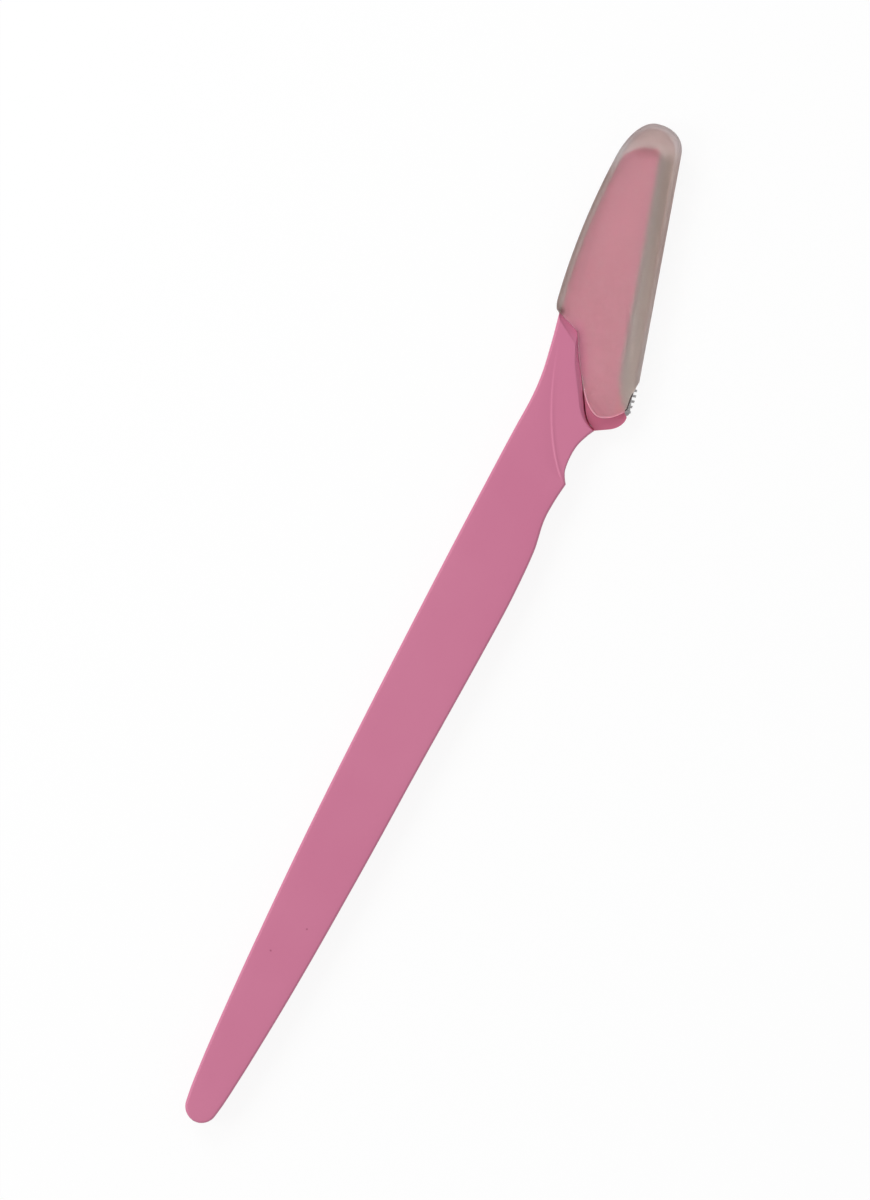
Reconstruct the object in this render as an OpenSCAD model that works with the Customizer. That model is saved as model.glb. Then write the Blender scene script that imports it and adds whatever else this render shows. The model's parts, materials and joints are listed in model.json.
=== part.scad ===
// Eyebrow razor with a slim moulded handle, a clamped steel blade behind a fine edge guard,
// and a frosted pull-off cap. It lies flat on Z = 0, tail to tip along +X, cutting edge to -Y.

/* [Grip] */
// Distance from the tail to the heel of the blade
grip_len = 118.1; // [108:0.1:130]
// Width of the grip at its fullest place
grip_w = 11.1; // [10:0.1:12.5]
// Thickness of the handle and of the closed cap
grip_t = 4.2; // [3.9:0.1:5]
// Radius of the round tail
tail_r = 2.45; // [2.2:0.05:2.8]
// How far in from the outline the rounded edge runs
edge_reach = 0.6; // [0.4:0.05:1]
// How far the rounded edge drops
edge_drop = 0.55; // [0.4:0.05:0.8]
// Distance from the belly, the fullest place, to the blade's heel
belly_back = 33.1; // [31:0.1:36]
// Distance from the finger scallop to the blade's heel
scallop_back = 17.8; // [17:0.1:19]
// Depth of the finger scallop below the belly
scallop_depth = 1.15; // [0.6:0.05:1.6]
// Distance from the sharp crest in front of the scallop to the blade's heel
crest_back = 12.85; // [12.3:0.05:13.6]
// Height of the crest above the scallop
crest_rise = 0.4; // [0.2:0.05:0.7]

/* [Neck] */
// Distance from the throat, the narrowest place, to the blade's heel
throat_back = 9.1; // [8.2:0.1:10]
// Depth of the throat below the crest
throat_depth = 1.25; // [0.8:0.05:1.7]
// Depth of the scooped neck face at the crest
scoop_depth = 0.48; // [0.25:0.01:0.6]
// Length over which the scoop fades out
scoop_run = 17.3; // [15:0.1:19]
// Width of the bevel down to the head
bevel_w = 1.15; // [0.7:0.05:1.4]

/* [Head] */
// Distance from the axis of the grip to the blade side of the cap, at the heel
heel_drop = 9; // [8.6:0.1:9.4]
// Angle between the head and the grip
head_tilt = 17.1; // [15:0.1:19]
// Length of the head from the blade's heel to its tip
head_len = 38.5; // [35:0.5:42]
// Width of the head at the shoulder, measured from the blade side of the cap
head_w = 12.7; // [12.2:0.1:13.4]
// Width of the head near its tip, measured the same way
head_tip_w = 8.1; // [7.6:0.1:9]
// How far the spine of the head bows outward
spine_bow = 0.67; // [0.3:0.01:1]
// Gap of the seam between the handle and the head
seam_gap = 0.15; // [0.1:0.01:0.25]
// Width of the tang that the handle holds
tang_w = 2.7; // [2:0.1:3]
// Thickness of the tang
tang_t = 1.3; // [1:0.1:1.6]
// Clearance round the tang and round the clamp
fit_gap = 0.05; // [0.03:0.01:0.1]

/* [Blade] */
// Thickness of the steel
blade_t = 0.25; // [0.2:0.01:0.35]
// Width of the blade from its edge to its back
blade_w = 4.7; // [4.4:0.1:4.8]
// Width of the ground bevel at the edge
grind_w = 1.3; // [0.8:0.1:1.6]
// Width of bare blade between the guard and the head
blade_show = 2.5; // [2.2:0.05:2.8]
// Angle of the edge to the blade side of the cap, the draft of the cap's inside
edge_draft = 0.9; // [0.6:0.1:1.1]
// Diameter of the three posts that are staked over the clamp
post_d = 1.2; // [0.9:0.05:1.3]

/* [Guard] */
// Thickness of the guard foil
foil_t = 0.12; // [0.08:0.01:0.16]
// Distance that the guard stands out past the edge
foil_reach = 0.15; // [0.1:0.01:0.25]
// Width of the guard on each face of the blade
foil_w = 1.9; // [1.6:0.05:2.1]
// Distance from one tooth to the next
tooth_pitch = 0.8; // [0.7:0.05:1.6]
// Width of one tooth
tooth_w = 0.35; // [0.25:0.01:0.45]

/* [Cap] */
// Wall of the cap
cap_wall = 0.7; // [0.6:0.05:0.85]
// Clearance between the cap and the head
cap_gap = 0.35; // [0.3:0.01:0.4]
// Clearance between the cap and the guard
edge_gap = 0.12; // [0.1:0.01:0.2]
// Wall of the cap beside the blade's heel
lip_wall = 0.25; // [0.22:0.01:0.4]
// Empty room between the tip of the head and the end of the cap
tip_room = 2.8; // [1.5:0.1:4]
// Radius of the cap's outer edges
cap_round = 0.6; // [0.4:0.05:0.65]
// How far the rim of the cap laps over the foot of the bevel
rim_lap = 0.05; // [0:0.01:0.1]

/* [Hidden] */

// How far a cut runs past the face that it opens
overrun = 1;
// How far a curve's handles reach towards its corner
bend_share = 0.6;
// Steps of a rounded edge, of a bend, of a smooth line, of the round tail and round a post
edge_steps = 4;
bend_steps = 12;
line_steps = 12;
tail_steps = 8;
post_steps = 32;
// Sections from the tail to the belly, the scallop, the crest, the throat and the chin
section_steps = [14, 9, 4, 7, 7];

// Half widths of the grip on the spine side: shares of the grip's length and width
spine_shares = [[0.076, 0.288], [0.203, 0.372], [0.373, 0.445], [0.542, 0.476], [0.754, 0.489],
    [0.923, 0.478], [0.965, 0.469], [0.999, 0.495]];
// The same on the blade side, up to the belly
front_shares = [[0.076, 0.274], [0.203, 0.361], [0.373, 0.425], [0.5, 0.453], [0.6, 0.482]];
// Half width of the tail on the spine side and the blade side, as shares of its radius
tail_shares = [1, 0.95];
// Half width at the belly as a share of the grip's width
belly_share = 0.51;
// From the belly to the scallop and on to the crest: shares of the way and of the depth
drop_shares = [[0.39, 0.1], [0.65, 0.32], [0.78, 0.62], [0.915, 0.94]];
rise_shares = [[0.545, 0.35]];
// From the crest to the throat and on to the seam
throat_shares = [[0.19, 0.41], [0.46, 0.81]];
jaw_shares = [[0.4, 0.11], [0.8, 0.62]];

// The seam between the handle and the head: shares of the head's length and width
seam_shares = [[-0.073, 0.402], [-0.038, 0.508], [0.031, 0.579], [0.103, 0.635], [0.187, 0.72],
    [0.279, 0.783]];
// Tip of the shoulder, where the seam reaches the spine
tip_shares = [0.338, 1.027];
// Two places on the spine before that tip: shares of the tip's own place
nape_shares = [[0.707, 1.021], [0.865, 1.009]];
// Width of the bevel along the seam: shares of the seam's points and of the bevel's width
bevel_shares = [[0, 0.1], [0.12, 0.42], [0.23, 0.75], [0.34, 0.85], [0.48, 0.65], [0.61, 0.47],
    [0.69, 0.52], [0.75, 0.82], [0.87, 1], [1, 0.6]];
// Top of the side wall under the bevel, as a share of the way from mid height to its foot
bevel_wall_share = 0.7;
// Limit of the bevel and of the rounded edges where the shoulder narrows, as shares of its width
bevel_limit_share = 0.9;
reach_share = 0.42;
// The last section of the shoulder, as a share of the seam's last stretch
shoulder_end_share = 0.8;
// The corner and the end of the scoop's swoosh, from the crest: shares of its run and the grip's width
swoosh_corner_shares = [0.217, 0.5];
swoosh_end_shares = [0.905, 0.855];

// Start and end of the straight line that the head's spine bows from, along the head
spine_from_share = 0.353;
spine_to_share = 0.943;
// The head's rounded tip: its corner and its lower end, as shares of the widths there
tip_corner_share = 0.915;
tip_low_share = 0.355;
// The end of the head from the seam to the heel: shares of the head's length and width
chin_shares = [[-0.055, 0.228], [-0.039, 0.071], [0, 0.067]];
// The bare heel of the blade: its corner and its end, shares of the length and of the edge's height
heel_shares = [[0.049, 0.88], [0.164, 1]];
// The ramp at the head's end: start and end along the head, and drop as a share of its thickness
ramp_shares = [-0.01, -0.073];
ramp_drop_share = 0.33;
// The rim of the cap round the heel: shares of the head's length and width
rim_shares = [[-0.021, 0.528], [-0.021, 0.362], [-0.023, 0.205], [0.026, 0.077], [0.066, 0.06],
    [0.117, 0.024], [0.142, -0.01]];
// Where the cap's tip starts to turn, as a share of its length, and its fullest place and corner
cap_turn_share = 0.911;
cap_full_share = 0.339;
cap_corner_share = 0.575;
// Where the blank of the cap ends, on the handle's side of its mouth
cap_root_share = -0.13;
root_steps = 4;

// Places of the posts along the head
post_shares = [0.17, 0.49, 0.81];
// Head of a staked post: diameter and thickness as shares of the post's diameter
stake_shares = [1.55, 0.25];
// Start and end of the blade, and start of the guard, as shares of the head's length
blade_from_share = 0.004;
blade_to_share = 0.984;
foil_from_share = 0.016;
// Rounded corners of the blade at the heel and the toe, as shares of the blade's width
blade_corner_share = 0.12;
// Depth of the guard's slots as a share of its width
slot_share = 0.55;
// Start of the tang in the handle, and its middle, as shares of the head's length and width
tang_shares = [-0.056, 0.843];

mid_z = grip_t / 2;
head_low = cap_wall + cap_gap;
head_high = grip_t - head_low;
head_t = head_high - head_low;
edge_y = lip_wall + edge_gap + foil_reach;
show_y = edge_y + blade_show;
heel = [grip_len, -heel_drop];
blade_from = blade_from_share * head_len;
blade_to = blade_to_share * head_len;
foil_from = foil_from_share * head_len;
foil_to = blade_to - foil_from;

// One point between two others
function mix(a, b, u) = a + (b - a) * u;
// A list backwards
function reversed(p) = [for (i = [len(p) - 1:-1:0]) p[i]];
// Even places from a, left out, to b
function spread(a, b, n) = [for (i = [1:n]) mix(a, b, i / n)];
// A point on the cubic curve of two ends and two handles
function cubic(a, b, c, d, u) = let (v = 1 - u)
    v * v * v * a + 3 * v * v * u * b + 3 * v * u * u * c + u * u * u * d;
// A rounded turn from one point to another round a corner
function bend(a, corner, b) = [for (i = [0:bend_steps])
    cubic(a, mix(a, corner, bend_share), mix(b, corner, bend_share), b, i / bend_steps)];
// Slope of a smooth line at one of its knots
function slope(k, i) = let (a = k[max(i - 1, 0)], b = k[min(i + 1, len(k) - 1)])
    (b.y - a.y) / (b.x - a.x);
// Height of a smooth line through knots, at x
function smooth(k, x) = let (
        i = min([for (j = [0:len(k) - 2]) if (x <= k[j + 1].x || j == len(k) - 2) j]),
        run = k[i + 1].x - k[i].x)
    cubic(k[i].y, k[i].y + slope(k, i) * run / 3, k[i + 1].y - slope(k, i + 1) * run / 3,
        k[i + 1].y, (x - k[i].x) / run);
// Unit vector to the left of the way from a to b
function left(a, b) = [a.y - b.y, b.x - a.x] / norm(b - a);
// A point moved by d between two sides, whose left directions are m and n
function mitre(p, m, n, d) = p + (m + n) / (1 + m * n) * d;
// A line of points moved to its left
function beside(p, d) = let (last = len(p) - 1) [for (i = [0:last]) mitre(p[i],
    left(p[max(i - 1, 0)], p[max(i, 1)]), left(p[min(i, last - 1)], p[min(i + 1, last)]), d)];
// A closed outline, run anticlockwise, drawn in by d
function inset(p, d) = let (n = len(p)) [for (i = [0:n - 1]) mitre(p[i],
    left(p[(i + n - 1) % n], p[i]), left(p[i], p[(i + 1) % n]), d)];
// A point turned about the origin
function turn(p, a) = [p.x * cos(a) - p.y * sin(a), p.x * sin(a) + p.y * cos(a)];
// A point of the head's frame in the handle's, and one of the blade's frame in the head's
function on_handle(p) = heel + turn(p, head_tilt);
function on_head(p) = [0, edge_y] + turn(p, edge_draft);
// A place on the head from its shares
function place(q) = [q.x * head_len, q.y * head_w];

// Seam line in the head's frame, from the chin to the tip of the shoulder
seam_knots = [for (q = seam_shares) place(q)];
seam_turn = seam_knots[len(seam_knots) - 1];
seam_tip = place(tip_shares);
seam = concat([for (i = [0:line_steps])
        let (s = mix(seam_knots[0].x, seam_turn.x, i / line_steps)) [s, smooth(seam_knots, s)]],
    spread(seam_turn, seam_tip, edge_steps));
// The same line in the handle's frame, and the top of the bevel beside it
seam_line = [for (p = seam) on_handle(p)];
seam_count = len(seam_line);
bevel_line = let (full = beside(seam_line, bevel_w)) [for (i = [0:seam_count - 1])
    mix(seam_line[i], full[i], smooth(bevel_shares, i / (seam_count - 1)))];
chin = seam_line[0];

// Half widths of the handle as knots along it
belly = grip_w * belly_share;
scallop = belly - scallop_depth;
crest = scallop + crest_rise;
throat = crest - throat_depth;
belly_at = grip_len - belly_back;
scallop_at = grip_len - scallop_back;
crest_at = grip_len - crest_back;
throat_at = grip_len - throat_back;
spine_knots = concat([[tail_r, tail_r * tail_shares[0]]],
    [for (q = spine_shares) [q.x * grip_len, q.y * grip_w]],
    [for (q = nape_shares) on_handle([q.x * seam_tip.x, q.y * seam_tip.y])],
    [on_handle(seam_tip)]);
grip_knots = concat([[tail_r, tail_r * tail_shares[1]]],
    [for (q = front_shares) [q.x * grip_len, q.y * grip_w]],
    [[belly_at, belly]],
    [for (q = drop_shares) [mix(belly_at, scallop_at, q.x), mix(belly, scallop, q.y)]],
    [[scallop_at, scallop]],
    [for (q = rise_shares) [mix(scallop_at, crest_at, q.x), mix(scallop, crest, q.y)]],
    [[crest_at, crest]]);
neck_knots = concat([[crest_at, crest]],
    [for (q = throat_shares) [mix(crest_at, throat_at, q.x), mix(crest, throat, q.y)]],
    [[throat_at, throat]],
    [for (q = jaw_shares) [mix(throat_at, chin.x, q.x), mix(throat, -chin.y, q.y)]],
    [[chin.x, -chin.y]]);

// Share of the half width that the round tail leaves at x
function tail_share(x) = x >= tail_r ? 1 : sqrt(1 - pow(1 - x / tail_r, 2));
// The handle's outline on the spine side and on the blade side
function spine_y(x) = smooth(spine_knots, max(x, tail_r)) * tail_share(x);
function front_y(x) = x <= crest_at ? -smooth(grip_knots, max(x, tail_r)) * tail_share(x)
    : x <= chin.x ? -smooth(neck_knots, x) : lookup(x, seam_line);
// Height of the top face, which rounds off at the tail
function top_z(x) = x >= edge_reach ? grip_t
    : grip_t - edge_drop * (1 - sqrt(1 - pow(1 - x / edge_reach, 2)));
// Reach of the rounded edges at x
function reach(x) = min(edge_reach, (spine_y(x) - front_y(x)) * reach_share);
// How far the blade side has turned from a rounded edge into the bevel
function turned(x) = min(max((x - chin.x + bevel_w) / (2 * bevel_w), 0), 1);
// Place k of a rounded edge at y, from the side wall to the top face
function edge_point(x, y, way, k) = let (a = 90 * k / edge_steps, low = grip_t - edge_drop)
    [y + way * reach(x) * (1 - cos(a)), mix(low, top_z(x), sin(a))];
// Place k of the bevel, from the side wall to the top face
function bevel_point(x, k) = let (
        foot = front_y(x), limit = mix(foot, spine_y(x) - reach(x), bevel_limit_share),
        top = min(lookup(x, bevel_line), limit), u = (k - 1) / (edge_steps - 1))
    k == 0 ? [foot, mix(mid_z, head_high, bevel_wall_share)]
        : [mix(foot, top, u), mix(head_high, grip_t, u)];
// The handle's section at x: its upper half from the blade side to the spine, after its mirror
function upper(x) = concat(
    [for (k = [0:edge_steps])
        mix(edge_point(x, front_y(x), 1, k), bevel_point(x, k), turned(x))],
    [for (k = [edge_steps:-1:0]) edge_point(x, spine_y(x), -1, k)]);
function section(x) = let (u = upper(x))
    concat([for (p = reversed(u)) [x, p.x, grip_t - p.y]], [for (p = u) [x, p.x, p.y]]);
stations = concat([for (i = [1:tail_steps]) tail_r * (1 - cos(90 * (i - 0.5) / tail_steps))],
    spread(tail_r, belly_at, section_steps[0]), spread(belly_at, scallop_at, section_steps[1]),
    spread(scallop_at, crest_at, section_steps[2]), spread(crest_at, throat_at, section_steps[3]),
    spread(throat_at, chin.x, section_steps[4]), [for (i = [1:seam_count - 2]) seam_line[i].x],
    [mix(seam_line[seam_count - 2].x, seam_line[seam_count - 1].x, shoulder_end_share)]);

// Spine of the head from its tip, d outside it, and some steps on past its start
spine_from = [spine_from_share * head_len, head_w];
spine_to = [spine_to_share * head_len, head_tip_w];
function spine_line(d, past = 0) = beside([for (i = [line_steps:-1:-past])
    let (u = i / line_steps) mix(spine_from, spine_to, u) + [0, 4 * spine_bow * u * (1 - u)]], -d);
head_outline = let (back = spine_line(0), chin_low = place(chin_shares[0]),
        heel_tip = place(chin_shares[2]))
    concat([[head_len, show_y]],
    bend([head_len, head_w * tip_low_share], [head_len, head_tip_w * tip_corner_share], back[0]),
    [for (i = [1:line_steps]) back[i]], reversed(beside(seam, -seam_gap)),
    bend(chin_low, place(chin_shares[1]), heel_tip),
    [for (p = bend(heel_tip, [heel_shares[0].x * head_len, heel_shares[0].y * show_y],
        [heel_shares[1].x * head_len, show_y])) if (p != heel_tip) p]);

// The pocket that holds the blade, open to the edge, and the places of the posts
pocket_y = on_head([blade_to, blade_w]).y + fit_gap;
post_at = [for (s = post_shares) [s * head_len, (show_y + pocket_y) / 2]];
stake_d = post_d * stake_shares[0];
stake_t = post_d * stake_shares[1];

// Outline of the cap or its inside: end along the head, side room, and the line on the blade side
cap_end = head_len + tip_room + cap_wall;
function cap_shape(end, side, lip, rise) = let (
        back = spine_line(side, root_steps), root = cap_root_share * head_len,
        from = cap_turn_share * end, full = [end, cap_full_share * head_w])
    concat([[root, lip + rise * root]],
    bend([from, lip + rise * from], [end, lip + rise * end], full),
    [for (p = bend(full, [end, cap_corner_share * head_w], back[0])) if (p != full) p],
    [for (i = [1:len(back) - 1]) back[i]], [[root, back[len(back) - 1].y]]);
cap_outline = cap_shape(cap_end, cap_wall + cap_gap, 0, 0);
cap_inside = cap_shape(cap_end - cap_wall, cap_gap, lip_wall, tan(edge_draft));
// What the mouth leaves open: from the heel round the U and up along the shoulder
mouth = let (rim = beside(seam, rim_lap), from = line_steps / 2, last = len(rim) - 1,
        u = [for (q = rim_shares) place(q)], root = 2 * cap_root_share * head_len)
    concat([[u[6].x, -overrun], u[6], u[5], u[4]], bend(u[3], u[2], u[1]),
    [for (p = bend(u[1], u[0], rim[from])) if (p != u[1]) p],
    [for (i = [from + 1:last]) rim[i]], [mix(rim[last - 1], rim[last], line_steps)],
    [[root, 2 * head_w], [root, -overrun]]);

// Middle of everything, which lies over the origin
kept = [for (p = cap_outline) if (p.x > spine_from.x) on_handle(p)];
low_points = concat([on_handle(on_head([foil_from, -foil_reach]))],
    [for (p = head_outline) on_handle(p)]);
middle = [max([for (p = kept) p.x]),
    max([for (p = kept) p.y]) + min([for (p = low_points) p.y])] / 2;

module centred() translate([-middle.x, -middle.y, 0]) children();
module in_head() translate([heel.x, heel.y, 0]) rotate([0, 0, head_tilt]) children();
module at_edge() translate([0, edge_y, 0]) rotate([0, 0, edge_draft]) children();
// What is done to the top face is done to the bottom face too
module both_faces() {
    children();
    translate([0, 0, grip_t]) mirror([0, 0, 1]) children();
}
// A solid through equal rings of points
module loft(rings) {
    n = len(rings[0]);
    last = (len(rings) - 1) * n;
    sides = [for (i = [0:n:last - n], j = [0:n - 1]) let (a = i + j, b = i + (j + 1) % n)
        each [[a, b, b + n], [a, b + n, a + n]]];
    ends = [for (j = [1:n - 2]) each [[0, j + 1, j], [last, last + j, last + j + 1]]];
    polyhedron([for (r = rings) each r], concat(sides, ends), convexity = 4);
}
// A solid between two heights
module slab(outline, low, high) translate([0, 0, low]) linear_extrude(high - low) polygon(outline);
// The same with rounded rims
module rounded_slab(outline, high, r) {
    quarter = [for (k = [0:edge_steps]) let (a = 90 * k / edge_steps)
        [r * (1 - sin(a)), r * (1 - cos(a))]];
    levels = concat(quarter, [for (q = reversed(quarter)) [q.x, high - q.y]]);
    loft([for (q = levels) [for (p = reversed(inset(outline, q.x))) [p.x, p.y, q.y]]]);
}
// A bar along the blade with a section of [height over the edge, height over the bottom]
module bar(from, to, profile) translate([from, 0, 0]) rotate([90, 0, 90])
    linear_extrude(to - from) polygon(profile);

// The neck face: a flat cut behind the swoosh, deepest at the crest, fading towards the shoulder
module scoop() {
    start = [crest_at, -crest];
    end = start + [scoop_run * swoosh_end_shares[0], grip_w * swoosh_end_shares[1]];
    corner = start + [scoop_run * swoosh_corner_shares[0], grip_w * swoosh_corner_shares[1]];
    swoosh = bend(start, corner, end);
    pivot = start.x + scoop_run;
    translate([pivot, 0, grip_t]) rotate([0, -atan(scoop_depth / scoop_run), 0])
        translate([-pivot, 0, 0]) linear_extrude(grip_t) polygon(concat(swoosh,
            [[pivot + overrun, end.y], [pivot + overrun, -grip_w], [start.x, -grip_w]]));
}
// The bar that joins the head to the handle, or with a gap its socket
module tang(gap) {
    from = tang_shares[0] * head_len;
    translate([from - gap, tang_shares[1] * head_w - tang_w / 2 - gap, mid_z - tang_t / 2 - gap])
        cube([seam_tip.x - from, tang_w + 2 * gap, tang_t + 2 * gap]);
}
// The slope of the head's end
module ramp() {
    run = (ramp_shares[0] - ramp_shares[1]) * head_len;
    translate([ramp_shares[0] * head_len, 0, head_high])
        rotate([0, -atan(head_t * ramp_drop_share / run), 0])
        translate([-2 * run, -head_w, 0]) cube([2 * run, 2 * head_w, head_t]);
}
// The blade's room between the carrier and the clamp, or the clamp's own space with a gap
module pocket(low, high, gap) translate([blade_from - fit_gap + gap, -overrun, low])
    cube([blade_to - blade_from + 2 * (fit_gap - gap), pocket_y + overrun - gap, high - low]);
// The recess that leaves the guard its room where the head reaches down to the edge
module foil_room() at_edge() {
    half = blade_t / 2 + foil_t + fit_gap;
    translate([foil_from - fit_gap, -overrun, mid_z - half])
        cube([foil_to - foil_from + 2 * fit_gap, overrun + foil_w + fit_gap, 2 * half]);
}

module handle() color("#c97695") difference() {
    loft([for (x = stations) section(x)]);
    both_faces() scoop();
    in_head() tang(fit_gap);
}

module blade_carrier() color("#c57391") in_head() {
    difference() {
        slab(head_outline, head_low, head_high);
        both_faces() ramp();
        pocket(-overrun, mid_z + blade_t / 2, 0);
        foil_room();
    }
    tang(0);
    for (p = post_at) translate([p.x, p.y, head_low]) {
        cylinder(h = head_t - stake_t, d = post_d, $fn = post_steps);
        cylinder(h = stake_t, d = stake_d, $fn = post_steps);
    }
}

module blade_clamp() color("#b96a86") in_head() difference() {
    intersection() {
        slab(head_outline, head_low, mid_z - blade_t / 2);
        pocket(0, grip_t, fit_gap);
    }
    foil_room();
    for (p = post_at) translate([p.x, p.y, 0]) {
        cylinder(h = grip_t, d = post_d + 2 * fit_gap, $fn = post_steps);
        cylinder(h = head_low + stake_t + fit_gap, d = stake_d + 2 * fit_gap, $fn = post_steps);
    }
}

module blade() color("#c9ccd0") difference() {
    r = blade_corner_share * blade_w;
    half = blade_t / 2;
    in_head() at_edge() intersection() {
        bar(blade_from, blade_to, [[0, mid_z], [grind_w, mid_z - half], [blade_w, mid_z - half],
            [blade_w, mid_z + half], [grind_w, mid_z + half]]);
        slab(concat(bend([blade_from, r], [blade_from, 0], [blade_from + r, 0]),
            bend([blade_to - r, 0], [blade_to, 0], [blade_to, r]),
            [[blade_to, blade_w + overrun], [blade_from, blade_w + overrun]]), 0, grip_t);
    }
    in_head() for (p = post_at) translate([p.x, p.y, 0])
        cylinder(h = grip_t, d = post_d + 2 * fit_gap, $fn = post_steps);
}

module edge_guard() color("#a9adb3") in_head() at_edge() difference() {
    inner = blade_t / 2;
    outer = inner + foil_t;
    teeth = floor((foil_to - foil_from) / tooth_pitch);
    nose = [for (a = [90:30:270]) [outer - foil_reach + outer * cos(a), mid_z + outer * sin(a)]];
    bar(foil_from, foil_to, concat(nose, [[foil_w, mid_z - outer], [foil_w, mid_z - inner],
        [foil_t - foil_reach, mid_z - inner], [foil_t - foil_reach, mid_z + inner],
        [foil_w, mid_z + inner], [foil_w, mid_z + outer]]));
    for (i = [0:teeth - 1]) translate([foil_from + tooth_w + i * tooth_pitch, -overrun, 0])
        cube([tooth_pitch - tooth_w, overrun + slot_share * foil_w, grip_t]);
}

module cap() color([0.74, 0.68, 0.66, 0.55]) in_head() difference() {
    rounded_slab(cap_outline, grip_t, cap_round);
    slab(cap_inside, cap_wall, grip_t - cap_wall);
    slab(mouth, -overrun, grip_t + overrun);
}

centred() handle();
centred() blade_carrier();
centred() blade_clamp();
centred() blade();
centred() edge_guard();
centred() cap();
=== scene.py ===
"""Looks of an eyebrow razor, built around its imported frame.

The razor lies flat on a pale floor, tail to tip along +X, its cutting edge towards -Y. The handle is
modelled anew as one smooth moulding. The other pieces take the frame's own solids, with softened edges;
the head, the guard foil and the cap are also drawn out or in a little. Lengths are in millimetres until
a piece is finished, and each finished piece has its place in its mesh, in metres.
"""

import json
import logging
import math
from dataclasses import dataclass
from enum import Enum

import bmesh
import bpy
import numpy as np
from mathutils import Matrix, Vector

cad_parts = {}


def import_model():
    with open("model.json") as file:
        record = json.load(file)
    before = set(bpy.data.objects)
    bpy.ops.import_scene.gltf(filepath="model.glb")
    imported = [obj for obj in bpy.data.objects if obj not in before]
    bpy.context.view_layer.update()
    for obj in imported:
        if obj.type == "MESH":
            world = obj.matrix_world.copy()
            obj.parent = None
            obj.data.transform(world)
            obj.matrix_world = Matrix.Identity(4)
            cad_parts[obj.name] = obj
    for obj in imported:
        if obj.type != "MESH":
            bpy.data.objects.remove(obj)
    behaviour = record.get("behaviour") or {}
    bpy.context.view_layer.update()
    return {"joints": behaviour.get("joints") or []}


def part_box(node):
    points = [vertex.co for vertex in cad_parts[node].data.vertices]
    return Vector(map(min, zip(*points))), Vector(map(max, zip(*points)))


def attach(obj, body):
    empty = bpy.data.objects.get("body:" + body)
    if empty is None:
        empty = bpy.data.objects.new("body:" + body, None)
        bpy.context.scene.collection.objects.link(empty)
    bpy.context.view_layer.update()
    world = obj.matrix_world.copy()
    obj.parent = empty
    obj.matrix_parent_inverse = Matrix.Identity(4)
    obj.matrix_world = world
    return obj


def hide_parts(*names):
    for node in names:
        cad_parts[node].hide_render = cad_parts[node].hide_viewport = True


LOG = logging.getLogger("razor")
MM = 0.001
MARGIN = "margin"
# Values of a noise between which slow clouds, and fine grain, go from none to whole
CLOUDS = (0.35, 0.7)
GRAINS = (0.3, 0.7)
# In degrees: faces that turn by less lie in one plane, and edges that turn by more are rounded
FLAT_ANGLE = 0.6
SHARP_ANGLE = 40.0
SMOOTH_ANGLE = 32.0
TINY = 1e-9
WELD = 0.0005
Array = np.ndarray
Piece = bpy.types.Object
Material = bpy.types.Material
Socket = bpy.types.NodeSocket
BMesh = bmesh.types.BMesh
Vert = bmesh.types.BMVert
Edge = bmesh.types.BMEdge
Face = bmesh.types.BMFace
Pair = tuple[float, float]
Triple = tuple[float, float, float]


class Node(Enum):
    """The solids of the frame that the pieces stand for."""

    HANDLE = "handle"
    CARRIER = "blade_carrier"
    CLAMP = "blade_clamp"
    BLADE = "blade"
    GUARD = "edge_guard"
    CAP = "cap"


class Body(Enum):
    """The bodies that move as one."""

    RAZOR = "razor"
    CAP = "cap"


class Slot(Enum):
    """The record's material slots."""

    HANDLE = "handle_plastic"
    HEAD = "head_plastic"
    CLAMP = "clamp_plastic"
    BLADE = "blade_steel"
    GUARD = "guard_steel"
    CAP = "cap_plastic"


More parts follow.
